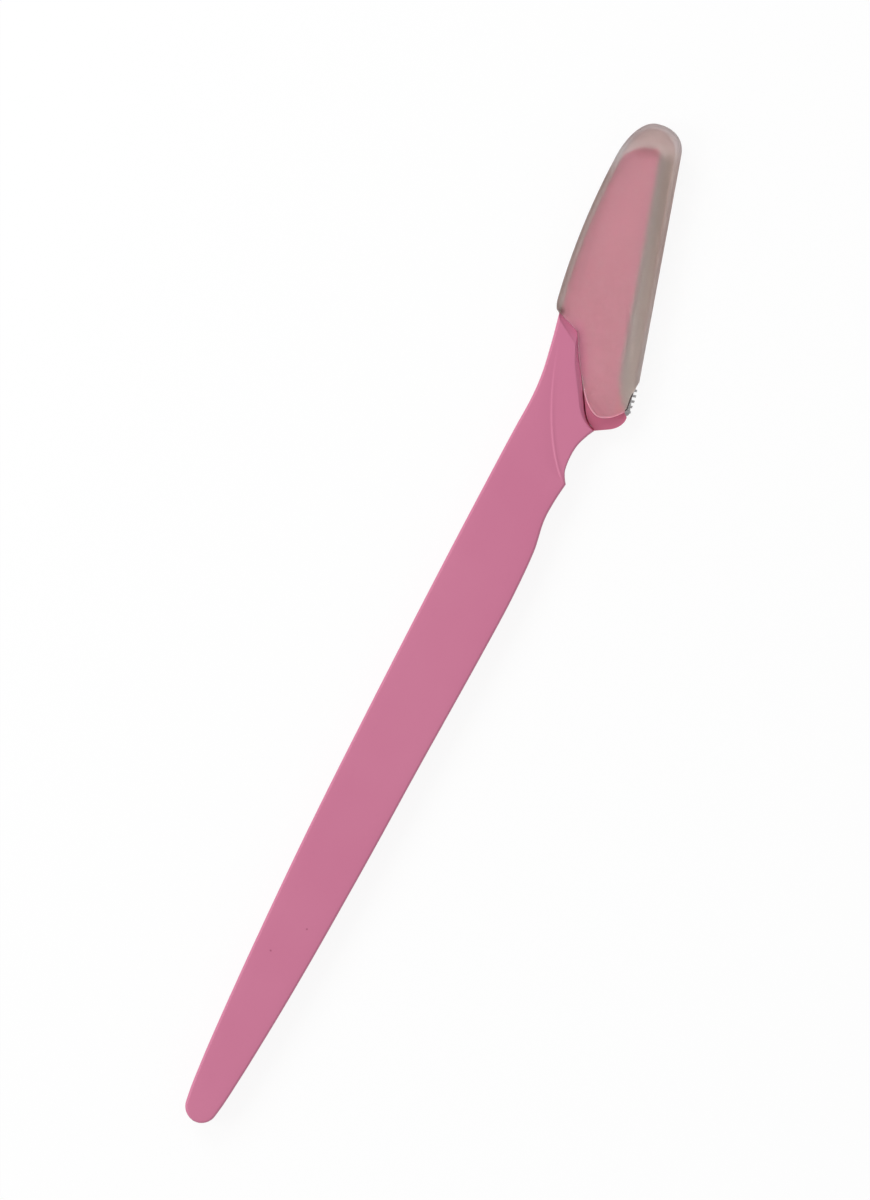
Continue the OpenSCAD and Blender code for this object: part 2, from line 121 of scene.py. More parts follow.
class Shader:
    """A material's node tree, with short calls for the nodes that the finishes share."""

    def __init__(self, name: str) -> None:
        """Makes an empty material with a Principled shader.

        Args:
            name: Name of the material.
        """
        self.material = bpy.data.materials.new(name)
        self.material.use_nodes = True
        self.tree = self.material.node_tree
        self.tree.nodes.clear()
        self.output = self.tree.nodes.new("ShaderNodeOutputMaterial")
        self.surface = self.tree.nodes.new("ShaderNodeBsdfPrincipled")
        self.link(self.surface.outputs["BSDF"], self.output.inputs["Surface"])
        self.place = self.tree.nodes.new("ShaderNodeTexCoord").outputs["Object"]

    def link(self, source: Socket, target: Socket) -> None:
        """Links two sockets."""
        self.tree.links.new(source, target)

    def moved(self, operation: str, place: Socket, by: Triple, output: str = "Vector") -> Socket:
        """Coordinates changed by a vector.

        Args:
            operation: Name of the operation.
            place: Socket of the coordinates.
            by: The vector.
            output: The output to take.

        Returns:
            The socket of the result.
        """
        node = self.tree.nodes.new("ShaderNodeVectorMath")
        node.operation = operation
        node.inputs[1].default_value = by
        self.link(place, node.inputs[0])
        return node.outputs[output]

    def turned(self, place: Socket, angle: float) -> Socket:
        """Coordinates along axes that are turned about Z.

        Args:
            place: Socket of the coordinates.
            angle: Turn of the axes in radians.

        Returns:
            The socket of the turned coordinates.
        """
        node = self.tree.nodes.new("ShaderNodeVectorRotate")
        node.rotation_type = "Z_AXIS"
        node.inputs["Angle"].default_value = -angle
        self.link(place, node.inputs["Vector"])
        return node.outputs["Vector"]

    def noise(
        self, size: float, detail: float = 2.0, roughness: float = 0.5, vector: Socket | None = None
    ) -> Socket:
        """A noise pattern.

        Args:
            size: Size of its blotches in millimetres.
            detail: Octaves.
            roughness: Share of the finer octaves.
            vector: Coordinates other than the object's own.

        Returns:
            The value socket of the pattern.
        """
        node = self.tree.nodes.new("ShaderNodeTexNoise")
        node.inputs["Scale"].default_value = 1 / (size * MM)
        node.inputs["Detail"].default_value = detail
        node.inputs["Roughness"].default_value = roughness
        self.link(vector or self.place, node.inputs["Vector"])
        return node.outputs["Fac"]

    def distance(self, point: Triple) -> Socket:
        """Distance of each place, in metres, from a point in millimetres."""
        return self.moved("DISTANCE", self.place, tuple(c * MM for c in point), "Value")

    def ranged(
        self, value: Socket, low: float, high: float, to_low: float = 0, to_high: float = 1
    ) -> Socket:
        """A value moved from one range to another and clamped there.

        Args:
            value: The value's socket.
            low: Start of the range it comes from.
            high: End of that range.
            to_low: Start of the range it goes to.
            to_high: End of that range.

        Returns:
            The socket of the moved value.
        """
        node = self.tree.nodes.new("ShaderNodeMapRange")
        for name, number in (
            ("From Min", low), ("From Max", high), ("To Min", to_low), ("To Max", to_high)
        ):
            node.inputs[name].default_value = number
        self.link(value, node.inputs["Value"])
        return node.outputs["Result"]

    def fade(self, place: Socket, span: Pair, low: float = 0, high: float = 1) -> Socket:
        """A share that runs from low to high over a span of places in millimetres."""
        return self.ranged(place, span[0] * MM, span[1] * MM, low, high)

    def sums(self, operation: str, first: float | Socket, second: float | Socket) -> Socket:
        """A sum of two values.

        Args:
            operation: Name of the operation.
            first: The first value, or its socket.
            second: The second value, or its socket.

        Returns:
            The socket of the result.
        """
        node = self.tree.nodes.new("ShaderNodeMath")
        node.operation = operation
        for target, value in zip(node.inputs, (first, second)):
            if isinstance(value, Socket):
                self.link(value, target)
            else:
                target.default_value = value
        return node.outputs["Value"]

    def product(self, share: Socket, *others: Socket) -> Socket:
        """The product of some shares.

        Args:
            share: Socket of the first share.
            others: Sockets of the others.

        Returns:
            The socket of the product.
        """
        for other in others:
            share = self.sums("MULTIPLY", share, other)
        return share

    def mixed(
        self, share: Socket, first: tuple[float, ...] | Socket, second: tuple[float, ...],
        blend: str = "MIX",
    ) -> Socket:
        """One colour turned into another by a share.

        Args:
            share: Socket of the share of the second colour.
            first: The first colour, or its socket.
            second: The second colour.
            blend: MIX for the second colour itself, MULTIPLY for a tint by it.

        Returns:
            The socket of the mixed colour.
        """
        node = self.tree.nodes.new("ShaderNodeMix")
        node.data_type, node.blend_type = "RGBA", blend
        self.link(share, node.inputs["Factor"])
        if isinstance(first, Socket):
            self.link(first, node.inputs["A"])
        else:
            node.inputs["A"].default_value = (*first, 1)
        node.inputs["B"].default_value = (*second, 1)
        return node.outputs["Result"]

    def bumped(self, height: Socket, depth: float) -> None:
        """Dents the surface by a pattern.

        Args:
            height: Socket of the pattern.
            depth: Depth of the dents in millimetres.
        """
        node = self.tree.nodes.new("ShaderNodeBump")
        node.inputs["Strength"].default_value = 1
        node.inputs["Distance"].default_value = depth * MM
        self.link(height, node.inputs["Height"])
        self.link(node.outputs["Normal"], self.surface.inputs["Normal"])

    def roughened(self, pattern: Socket, middle: float, spread: Pair) -> None:
        """Lets the roughness follow a pattern, spread below and above a middle value."""
        rough = self.ranged(pattern, *GRAINS, middle - spread[0], middle + spread[1])
        self.link(rough, self.surface.inputs["Roughness"])

    def steady(self, **values: float) -> None:
        """Sets the surface's steady values by socket name, with underscores for spaces."""
        for name, value in values.items():
            self.surface.inputs[name.replace("_", " ")].default_value = value


@dataclass(frozen=True)
class Lie:
    """How the head lies: the place of its heel, its turn from the grip, and the run of its spine."""

    heel: Pair
    tilt: float
    spine_start: Pair = (13.59, 12.7)
    spine_end: Pair = (36.31, 8.1)
    spine_bow: float = 0.67

    def flat(self, places: Array) -> tuple[Array, Array]:
        """Turns places into places on the head, in millimetres.

        Args:
            places: Rows that start with x and y.

        Returns:
            The places along the head, and those across it.
        """
        off = places[:, :2] - np.array(self.heel)
        cos, sin = math.cos(self.tilt), math.sin(self.tilt)
        return off[:, 0] * cos + off[:, 1] * sin, off[:, 1] * cos - off[:, 0] * sin

    def depth(self, along: Array, across: Array) -> Array:
        """How far places lie inside the bowed spine, in millimetres.

        Args:
            along: The places along the head.
            across: The places across it.

        Returns:
            The depths, below 0 past the spine.
        """
        (s, t), (u, v) = self.spine_start, self.spine_end
        share = (along - s) / (u - s)
        return t + share * (v - t) + 4 * self.spine_bow * share * (1 - share) - across

    @property
    def sideways(self) -> Vector:
        """The direction across the head, from the edge to the spine."""
        return Vector((-math.sin(self.tilt), math.cos(self.tilt), 0))

    @property
    def lengthways(self) -> Vector:
        """The direction along the head, from its heel to its tip."""
        return Vector((self.sideways.y, -self.sideways.x, 0))

    @property
    def origin(self) -> Vector:
        """The heel, at the height of the floor."""
        return Vector((*self.heel, 0))

    def coordinates(self, shader: Shader) -> tuple[Socket, Socket]:
        """Coordinates from the heel, in metres.

        Args:
            shader: The material that reads them.

        Returns:
            The sockets of the place along the head and of the place across it.
        """
        shifted = shader.moved("SUBTRACT", shader.place, tuple(c * MM for c in (*self.heel, 0)))
        apart = shader.tree.nodes.new("ShaderNodeSeparateXYZ")
        shader.link(shader.turned(shifted, self.tilt), apart.inputs["Vector"])
        return apart.outputs["X"], apart.outputs["Y"]


@dataclass(frozen=True)
class SatinPlastic:
    """Coloured polypropylene from a satin mould."""

    name: str
    colour: Triple
    deep: Triple
    roughness: float = 0.42
    rough_spread: Pair = (0.05, 0.06)
    ior: float = 1.49
    gloss: float = 0.45
    cloud_size: float = 14.0
    grain_size: float = 0.16
    grain_octaves: float = 3.0
    grain_fineness: float = 0.6
    grain_depth: float = 0.0012
    specks: tuple[Triple, ...] = ()
    speck_colour: Triple = (0.3, 0.06, 0.12)
    speck_size: float = 0.42

    def material(self) -> Material:
        """Makes the material: slow clouds of colour, and a fine grain in gloss and surface.

        Returns:
            The material.
        """
        shader = Shader(self.name)
        cloud = shader.ranged(shader.noise(self.cloud_size), *CLOUDS)
        colour = shader.mixed(cloud, self.colour, self.deep)
        for speck in self.specks:
            share = shader.fade(shader.distance(speck), (self.speck_size / 2, 0))
            colour = shader.mixed(share, colour, self.speck_colour)
        shader.link(colour, shader.surface.inputs["Base Color"])
        grain = shader.noise(self.grain_size, self.grain_octaves, self.grain_fineness)
        shader.roughened(grain, self.roughness, self.rough_spread)
        shader.bumped(grain, self.grain_depth)
        shader.steady(IOR=self.ior, Specular_IOR_Level=self.gloss)
        return shader.material


@dataclass(frozen=True)
class FrostedPlastic:
    """Clear polypropylene with a frosted face, with painted shade. Given a lie, its colour is tinted
    darker and greyer by place where the floor, the steel or the head's edges show through, and warmer
    over the steel.

    Each pair of places is where a tint starts and where it is whole, along the head or across it.
    """

    name: str
    colour: Triple
    lie: Lie | None = None
    painted_shade_over_steel: Triple = (1.0, 0.92, 0.87)
    painted_shade_over_steel_tip: Triple = (0.9, 0.88, 0.87)
    painted_shade_at_mouth: Triple = (1.0, 0.85, 0.96)
    painted_shade_at_tip: Triple = (0.77, 0.66, 0.64)
    painted_shade_at_rim: Triple = (0.72, 0.72, 0.74)
    painted_shade_at_spine: Triple = (0.6, 0.45, 0.42)
    painted_shade_at_lip: Triple = (0.8, 0.7, 0.68)
    steel_across: Pair = (3.3, 1.6)
    steel_tip_along: Pair = (12.0, 34.0)
    lip_across: Pair = (1.2, 0.5)
    lip_along: Pair = (10.0, 24.0)
    lip_least: float = 0.2
    mouth_slant: float = 0.25
    mouth_across: Pair = (5.9, 7.0)
    mouth_start: Pair = (3.5, 5.5)
    mouth_end: Pair = (13.0, 10.6)
    tip_along: Pair = (36.6, 39.4)
    rim_margin: Pair = (1.0, 0.25)
    spine_across: Pair = (5.0, 7.0)
    spine_along: Pair = (38.4, 33.6)
    wider_along: Pair = (32.0, 38.0)
    wider_by: float = 1.3
    cloud_size: float = 6.0
    deeper: float = 0.97
    frost_size: float = 0.12
    frost_fineness: float = 0.6
    frost_depth: float = 0.0015
    roughness: float = 0.86
    rough_spread: Pair = (0.04, 0.04)
    clear: float = 0.97
    ior: float = 1.49

    def material(self) -> Material:
        """Makes the material: rough clear plastic with a fine frost.

        Returns:
            The material.
        """
        shader = Shader(self.name)
        cloud = shader.ranged(shader.noise(self.cloud_size), *CLOUDS)
        body = shader.mixed(cloud, self.colour, tuple(self.deeper * c for c in self.colour))
        if self.lie:
            body = self._placed(shader, body)
        shader.link(body, shader.surface.inputs["Base Color"])
        frost = shader.noise(self.frost_size, roughness=self.frost_fineness)
        shader.roughened(frost, self.roughness, self.rough_spread)
        shader.bumped(frost, self.frost_depth)
        shader.steady(IOR=self.ior, Transmission_Weight=self.clear)
        return shader.material

    def _placed(self, shader: Shader, body: Socket) -> Socket:
        """Paints shade into the plastic's colour by its place on the head.

        Args:
            shader: The material.
            body: Socket of its colour.

        Returns:
            The socket of the tinted colour.
        """
        along, across = self.lie.coordinates(shader)
        steel = shader.fade(across, self.steel_across)
        steel_tip = shader.product(steel, shader.fade(along, self.steel_tip_along))
        lip = shader.fade(along, self.lip_along, self.lip_least)
        lip = shader.product(shader.fade(across, self.lip_across), lip)
        mouth = shader.sums("MULTIPLY", along, self.mouth_slant)
        mouth = shader.fade(shader.sums("SUBTRACT", across, mouth), self.mouth_across)
        for span in (self.mouth_start, self.mouth_end):
            mouth = shader.product(mouth, shader.fade(along, span))
        margin = shader.tree.nodes.new("ShaderNodeAttribute")
        margin.attribute_name = MARGIN
        rim = shader.ranged(margin.outputs["Fac"], *self.rim_margin)
        wider = shader.fade(along, self.wider_along, 1.0, self.wider_by)
        spine = shader.sums("DIVIDE", margin.outputs["Fac"], wider)
        spine = shader.product(
            shader.ranged(spine, *self.rim_margin),
            shader.fade(across, self.spine_across), shader.fade(along, self.spine_along),
        )
        # Painted shade: each tint darkens or warms the colour where shade under the cap would fall on
        # what shows through it.
        for share, tint, blend in (
            (steel, self.painted_shade_over_steel, "MIX"),
            (steel_tip, self.painted_shade_over_steel_tip, "MULTIPLY"),
            (lip, self.painted_shade_at_lip, "MULTIPLY"),
            (mouth, self.painted_shade_at_mouth, "MULTIPLY"),
            (shader.fade(along, self.tip_along), self.painted_shade_at_tip, "MIX"),
            (rim, self.painted_shade_at_rim, "MULTIPLY"),
            (spine, self.painted_shade_at_spine, "MULTIPLY"),
        ):
            body = shader.mixed(share, body, tint, blend)
        return body


@dataclass(frozen=True)
class GroundSteel:
    """Stainless strip with grinding lines across or along it."""

    name: str
    colour: Triple
    lines_at: float
    roughness: float = 0.3
    rough_spread: Pair = (0.06, 0.08)
    ior: float = 1.5
    dimmer: float = 0.86
    line_size: float = 1.0
    line_fineness: float = 0.6
    line_stretch: Triple = (0.35, 30.0, 1.0)
    line_depth: float = 0.0008

    def material(self) -> Material:
        """Makes the material: metal with fine lines in its gloss and surface.

        Returns:
            The material.
        """
        shader = Shader(self.name)
        place = shader.turned(shader.place, self.lines_at)
        place = shader.moved("MULTIPLY", place, self.line_stretch)
        lines = shader.noise(self.line_size, roughness=self.line_fineness, vector=place)
        dim = tuple(self.dimmer * c for c in self.colour)
        colour = shader.mixed(shader.ranged(lines, *GRAINS), self.colour, dim)
        shader.link(colour, shader.surface.inputs["Base Color"])
        shader.roughened(lines, self.roughness, self.rough_spread)
        shader.bumped(lines, self.line_depth)
        shader.steady(Metallic=1.0, IOR=self.ior)
        return shader.material


def whole(bm: BMesh) -> list[Vert | Edge | Face]:
    """All parts of a mesh."""
    return bm.verts[:] + bm.edges[:] + bm.faces[:]


def frame_mesh(node: Node, flats: bool = False) -> BMesh:
    """A copy of a solid of the frame, merged, in millimetres.

    Args:
        node: The solid.
        flats: Whether faces in one plane become one face.

    Returns:
        The copy, which the caller frees.
    """
    bm = bmesh.new()
    bm.from_mesh(bpy.data.objects[node.value].data)
    bmesh.ops.scale(bm, vec=(1 / MM,) * 3, verts=bm.verts)
    bmesh.ops.remove_doubles(bm, verts=bm.verts, dist=WELD)
    if flats:
        angle = math.radians(FLAT_ANGLE)
        bmesh.ops.dissolve_limit(
            bm, angle_limit=angle, verts=bm.verts, edges=bm.edges, delimit={"NORMAL"}
        )
    return bm


def finished(name: str, bm: BMesh, smooth_angle: float) -> Piece:
    """Turns a mesh in millimetres into a piece in metres, and frees it.

    Args:
        name: Name of the piece.
        bm: The mesh.
        smooth_angle: Angle in degrees above which an edge stays sharp.

    Returns:
        The piece, in the scene's collection.
    """
    bmesh.ops.scale(bm, vec=(MM,) * 3, verts=bm.verts)
    mesh = bpy.data.meshes.new(name)
    bm.to_mesh(mesh)
    bm.free()
    mesh.shade_smooth()
    mesh.set_sharp_from_angle(angle=math.radians(smooth_angle))
    piece = bpy.data.objects.new(name, mesh)
    bpy.context.scene.collection.objects.link(piece)
    return piece


def dressed(piece: Piece, material: Material, body: Body, node: Node) -> Piece:
    """Gives a piece its finish and its body, and hides the solid that it stands for.

    Args:
        piece: The piece.
        material: Its finish.
        body: The body that carries it.
        node: The solid that it replaces.

    Returns:
        The same piece.
    """
    piece.data.materials.append(material)
    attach(piece, body.value)
    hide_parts(node.value)
    LOG.info("%s: %d faces, on %s", piece.name, len(piece.data.polygons), body.value)
    return piece


def ring_at(bm: BMesh, height: float, same: float = 1e-4, straight: float = 0.0008) -> Array:
    """The longest ring in which a solid meets a level plane, without points on straight runs.

    Args:
        bm: The solid, which is left cut.
        height: Height of the plane in millimetres.
        same: Distance below which the ring's ends are one point.
        straight: Sine of the turn below which a point lies on a straight run.

    Returns:
        The ring's points, as rows of x and y.
    """
    cut = bmesh.ops.bisect_plane(
        bm, geom=whole(bm), plane_co=(0, 0, height), plane_no=(0, 0, 1)
    )["geom_cut"]
    edges = dict.fromkeys(e for e in cut if isinstance(e, Edge))
    rings: list[list[Vector]] = []
    while edges:
        start, _ = edges.popitem()
        ring, vert = [start.verts[0].co.copy()], start.verts[1]
        while True:
            ring.append(vert.co.copy())
            onward = next((e for e in vert.link_edges if e in edges), None)
            if onward is None:
                break
            del edges[onward]
            vert = onward.other_vert(vert)
        rings.append(ring[:-1] if (ring[0] - ring[-1]).length < same else ring)
    longest = max(rings, key=lambda r: sum((r[i] - r[i - 1]).length for i in range(len(r))))
    points = np.array([[p.x, p.y] for p in longest])
    before, after = points - np.roll(points, 1, 0), np.roll(points, -1, 0) - points
    cross = before[:, 0] * after[:, 1] - before[:, 1] * after[:, 0]
    length = np.linalg.norm(before, axis=1) * np.linalg.norm(after, axis=1)
    return points[np.abs(cross) > straight * np.maximum(length, TINY)]


def read_off(table: tuple[Pair, ...], places: Array) -> Array:
    """Values at some places in a table of places and values, straight between its rows."""
    rows = np.array(table)
    return np.interp(places, rows[:, 0], rows[:, 1])


@dataclass
class Line:
    """A line of points in the plane, smoothed between its corners."""

    points: Array

    @property
    def along(self) -> Array:
        """Distance of each point from the start."""
        steps = np.linalg.norm(np.diff(self.points, axis=0), axis=1)
        return np.concatenate([[0], np.cumsum(steps)])

    @property
    def turns(self) -> Array:
        """Turn of the line at each point but its ends.

        Returns:
            The turns in radians.
        """
        ways = np.diff(self.points, axis=0)
        ways /= np.linalg.norm(ways, axis=1)[:, None]
        return np.arccos(np.clip((ways[1:] * ways[:-1]).sum(1), -1, 1))

    def at(self, distance: float | Array) -> Array:
        """Points at distances from the start, as rows of x and y."""
        own = self.along
        return np.column_stack([np.interp(distance, own, self.points[:, k]) for k in (0, 1)])

    def run_at(self, x: float) -> float:
        """Distance from the start at which a line that leads towards +X reaches x."""
        return float(np.interp(x, self.points[:, 0], self.along))

    def corner_past(self, x: float, reach: float = 6.0) -> int:
        """Index of the sharpest corner that lies past x and within reach of it."""
        inner = self.points[1:-1, 0]
        return int(np.argmax(np.where((inner > x) & (inner < x + reach), self.turns, 0))) + 1

    def nearest(self, places: Array) -> tuple[Array, Array, Array]:
        """How places lie to the line.

        Args:
            places: Rows of x and y.

        Returns:
            The distance of each place from the line, the nearest point's distance from the line's
            start, and the side of the line that it lies on, 1 for the left and -1 for the right.
        """
        best = np.full(len(places), np.inf)
        run, side = np.zeros(len(places)), np.ones(len(places))
        own = self.along
        for i in range(len(self.points) - 1):
            a, step = self.points[i], self.points[i + 1] - self.points[i]
            length = float(np.hypot(*step))
            if length < TINY:
                continue
            share = np.clip(((places - a) @ step) / length**2, 0, 1)
            off = places - (a + share[:, None] * step)
            gap = np.hypot(off[:, 0], off[:, 1])
            closer = gap < best
            best = np.where(closer, gap, best)
            run = np.where(closer, own[i] + share * length, run)
            turn = step[0] * off[:, 1] - step[1] * off[:, 0]
            side = np.where(closer, np.where(turn >= 0, 1.0, -1.0), side)
        return best, run, side

    def part(self, start: float, end: float, same: float = 1e-6) -> "Line":
        """The stretch of the line between two distances from its start.

        Args:
            start: The nearer distance.
            end: The farther one.
            same: Distance below which a point is one with an end.

        Returns:
            The stretch.
        """
        own = self.along
        inner = self.points[(own > start + same) & (own < end - same)]
        ends = self.at(np.array([start, end]))
        return Line(np.vstack([ends[:1], inner, ends[1:]]))

    def smoothed(self, step: float, corner: float) -> "Line":
        """The line as smooth curves between its corners.

        Args:
            step: Distance between the new points.
            corner: Turn in degrees above which a point is a corner and stays sharp.

        Returns:
            The smoothed line.
        """
        sharp = np.nonzero(np.degrees(self.turns) > corner)[0] + 1
        stops = [0, *sharp, len(self.points) - 1]
        made: list[Array] = []
        for a, b in zip(stops[:-1], stops[1:]):
            made.append(self._curve(self.points[a : b + 1], step))
        return Line(np.vstack([made[0], *(m[1:] for m in made[1:])]))

    @staticmethod
    def _curve(knots: Array, step: float) -> Array:
        """A cubic curve through knots, sampled at a step.

        Args:
            knots: Rows of x and y.
            step: Distance between samples.

        Returns:
            The samples, from the first knot to the last.
        """
        if len(knots) < 3:
            count = max(2, int(np.linalg.norm(knots[-1] - knots[0]) / step) + 1)
            return np.linspace(knots[0], knots[-1], count)
        lengths = np.linalg.norm(np.diff(knots, axis=0), axis=1)
        slopes = np.diff(knots, axis=0) / lengths[:, None]
        inner = (slopes[:-1] * lengths[1:, None] + slopes[1:] * lengths[:-1, None]) / (
            lengths[:-1] + lengths[1:]
        )[:, None]
        first, last = 1.5 * slopes[0] - 0.5 * inner[0], 1.5 * slopes[-1] - 0.5 * inner[-1]
        tangents = np.vstack([first, inner, last])
        made = [knots[:1]]
        for i, length in enumerate(lengths):
            u = np.linspace(0, 1, max(2, int(length / step) + 1))[1:, None]
            made.append(
                (2 * u**3 - 3 * u**2 + 1) * knots[i]
                + (u**3 - 2 * u**2 + u) * length * tangents[i]
                + (3 * u**2 - 2 * u**3) * knots[i + 1]
                + (u**3 - u**2) * length * tangents[i + 1]
            )
        return np.vstack(made)


def blended_max(a: Array, b: Array, radius: float) -> Array:
    """The larger of two depths, rounded where they differ by less than the radius."""
    share = np.clip(1 - np.abs(a - b) / radius, 0, 1)
    return np.maximum(a, b) + share**2 * radius / 4


def rounded(share: Array) -> Array:
    """Drop of a rounded edge, from 1 at the edge to 0 at the whole share of its reach."""
    inward = np.clip(1 - share, 0, 1)
    return 1 - np.sqrt(np.clip(1 - inward**2, 0, 1))


@dataclass
class Handle:
    """The moulded handle: grip, scallop, crest, scooped neck and bevelled shoulder.

    The tables of the bevel hold shares of the seam's length, with the depth or the width there. The
    swoosh's corner and end are measured from the crest.
    """

    finish: SatinPlastic
    groove_shade_finish: SatinPlastic
    outline_height: float = 0.68
    outline_step: float = 0.12
    outline_corner: float = 28.0
    smooth_angle: float = 38.0
    weld: float = 0.0002
    columns: int = 120
    row_counts: tuple[int, ...] = (16, 56, 44, 80, 104, 32)
    tail_flat: float = 0.05
    tail_run: float = 2.4
    belly_x: float = 6.0
    crest_x: float = 26.63
    seam_past_crest: float = 5.0
    chin_slant: float = 2.2
    turn_before_end: float = 3.85
    turn_slant: float = 0.6
    crowding: float = 0.5
    edge_round: float = 0.38
    edge_drop: float = 0.42
    round_share: float = 0.42
    round_least: float = 0.01
    crown_reach: float = 2.2
    crown_drop: float = 0.1
    groove: float = 0.18
    groove_fade: float = 0.12
    on_seam: float = 0.02
    seam_sight: float = 0.3
    seam_round: float = 0.14
    seam_drop: float = 0.8
    scoop_depth: float = 0.15
    scoop_run: float = 17.3
    neck_blend: float = 0.06
    swoosh_width: float = 0.34
    swoosh_corner: Pair = (3.7541, 5.55)
    swoosh_end: Pair = (15.6565, 9.49)
    swoosh_past: Pair = (3.0, 0.9)
    swoosh_before: float = 2.0
    swoosh_pull: float = 0.6
    swoosh_points: int = 60
    swoosh_dip: float = 0.2
    dip_from: float = 0.3
    dip_width: float = 0.26
    dip_reach: float = 2.6
    dip_power: float = 1.5
    ridge_depth: float = 0.03
    ridge_from: float = 0.5
    ridge_width: float = 0.3
    ridge_reach: float = 2.6
    fade_lead: float = 0.5
    fade_run: float = 1.4
    bevel_drops: tuple[Pair, ...] = (
        (0, 0.72), (0.3, 0.7), (0.52, 0.6), (0.72, 0.6), (0.8, 0.8), (1, 0.8),
    )
    bevel_widths: tuple[Pair, ...] = (
        (0, 0.1), (0.08, 0.32), (0.15, 0.6), (0.21, 0.74), (0.27, 0.77), (0.34, 0.82), (0.41, 0.92),
        (0.54, 0.8), (0.6, 0.62), (0.66, 0.5), (0.78, 0.44), (1, 0.3),
    )
    bevel_blend: float = 0.1
    shoulder_from: float = 6.0
    shoulder_width: float = 1.37
    shoulder_taper: float = 0.21
    shoulder_least: float = 0.1
    shoulder_power: float = 0.72
    foot_width: float = 0.13

    def __post_init__(self) -> None:
        """Reads the outline of the handle from the frame, and finds the seam on it."""
        low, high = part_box(Node.HANDLE.value)
        self.thickness = (high.z - low.z) / MM
        self.head_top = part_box(Node.CARRIER.value)[1].z / MM
        bm = frame_mesh(Node.HANDLE)
        ring = ring_at(bm, self.thickness * self.outline_height)
        bm.free()
        if np.sum(ring[:, 0] * np.roll(ring[:, 1], -1) - np.roll(ring[:, 0], -1) * ring[:, 1]) < 0:
            ring = ring[::-1]
        ring = np.roll(ring, -int(np.argmin(ring[:, 0])), axis=0)
        tip = int(np.argmax(ring[:, 0] + ring[:, 1]))
        tail = np.array([[low.x / MM, ring[ring[:, 0] < ring[0, 0] + self.tail_flat, 1].mean()]])
        smoothing = (self.outline_step, self.outline_corner)
        self.front = Line(np.vstack([tail, ring[: tip + 1]])).smoothed(*smoothing)
        self.spine = Line(np.vstack([ring[tip:], tail])[::-1]).smoothed(*smoothing)
        start = self.front.corner_past(self.crest_x + self.seam_past_crest)
        self.chin = float(self.front.along[start])
        self.chin_x = self.front.points[start, 0]
        self.seam = self.front.part(self.chin, self.front.along[-1])

    def piece(self) -> Piece:
        """Builds the handle and dresses it.

        Returns:
            The piece.
        """
        rows = self._rows()
        bm = bmesh.new()
        bmesh.ops.create_grid(bm, x_segments=self.columns, y_segments=len(rows[0]) - 1, size=0.5)
        self._lay(bm, *rows)
        bmesh.ops.remove_doubles(bm, verts=bm.verts, dist=self.weld)
        self._wall(bm)
        under = bmesh.ops.duplicate(bm, geom=whole(bm))["geom"]
        lower = [v for v in under if isinstance(v, Vert)]
        bmesh.ops.scale(bm, vec=(1, 1, -1), verts=lower)
        bmesh.ops.translate(bm, vec=(0, 0, self.thickness), verts=lower)
        bmesh.ops.remove_doubles(bm, verts=bm.verts, dist=self.weld)
        bmesh.ops.recalc_face_normals(bm, faces=bm.faces)
        piece = finished("handle_moulding", bm, self.smooth_angle)
        dressed(piece, self.finish.material(), Body.RAZOR, Node.HANDLE)
        # The second finish is painted shade: a darker, redder pink on the faces of the seam's groove.
        piece.data.materials.append(self.groove_shade_finish.material())
        return piece

    def _wall(self, bm: BMesh) -> None:
        """Draws the rim of the top face down to mid height, and out into the seam's groove there. The
        drawn faces take the second finish, a darker, redder pink that paints the groove's shade.

        Args:
            bm: The top face.
        """
        rim = [e for e in bm.edges if e.is_boundary]
        drawn = bmesh.ops.extrude_edge_only(bm, edges=rim)["geom"]
        verts = [v for v in drawn if isinstance(v, Vert)]
        seam = self.seam
        gap, run, _ = seam.nearest(np.array([v.co.xy for v in verts]))
        ahead = seam.at(run + self.seam_sight) - seam.at(run - self.seam_sight)
        ahead /= np.maximum(np.linalg.norm(ahead, axis=1), TINY)[:, None]
        near_end = np.minimum(run, seam.along[-1] - run) / self.groove_fade
        out = np.where(gap < self.on_seam, self.groove * np.clip(near_end, 0, 1), 0)
        for vert, way, step in zip(verts, ahead, out):
            vert.co = (vert.co.x + way[1] * step, vert.co.y - way[0] * step, self.thickness / 2)
            if step > 0:
                for face in vert.link_faces:
                    # Painted shade: the groove's faces take the darker, redder finish.
                    face.material_index = 1

    def _rows(self) -> tuple[Array, Array]:
        """Places the rows of the face: where each starts on the blade side and ends on the spine.

        Returns:
            The starts and the ends, as rows of x and y.
        """
        front, spine = self.front, self.spine
        turn = front.along[-1] - self.turn_before_end
        tail_end = front.points[0, 0] + self.tail_run
        ties = [
            (0.0, 0.0),
            (front.run_at(tail_end), spine.run_at(tail_end)),
            (front.run_at(self.belly_x), spine.run_at(self.belly_x)),
            (front.run_at(self.crest_x), spine.run_at(self.crest_x)),
            (self.chin, spine.run_at(self.chin_x + self.chin_slant)),
            (turn, spine.run_at(front.at(turn)[0, 0] + self.turn_slant)),
            (front.along[-1], spine.along[-1]),
        ]
        starts, ends = [0.0], [0.0]
        for (a, b), (c, d), count in zip(ties[:-1], ties[1:], self.row_counts):
            share = np.arange(1, count + 1) / count
            starts.extend(a + (c - a) * share)
            ends.extend(b + (d - b) * share)
        return front.at(np.array(starts)), spine.at(np.array(ends))

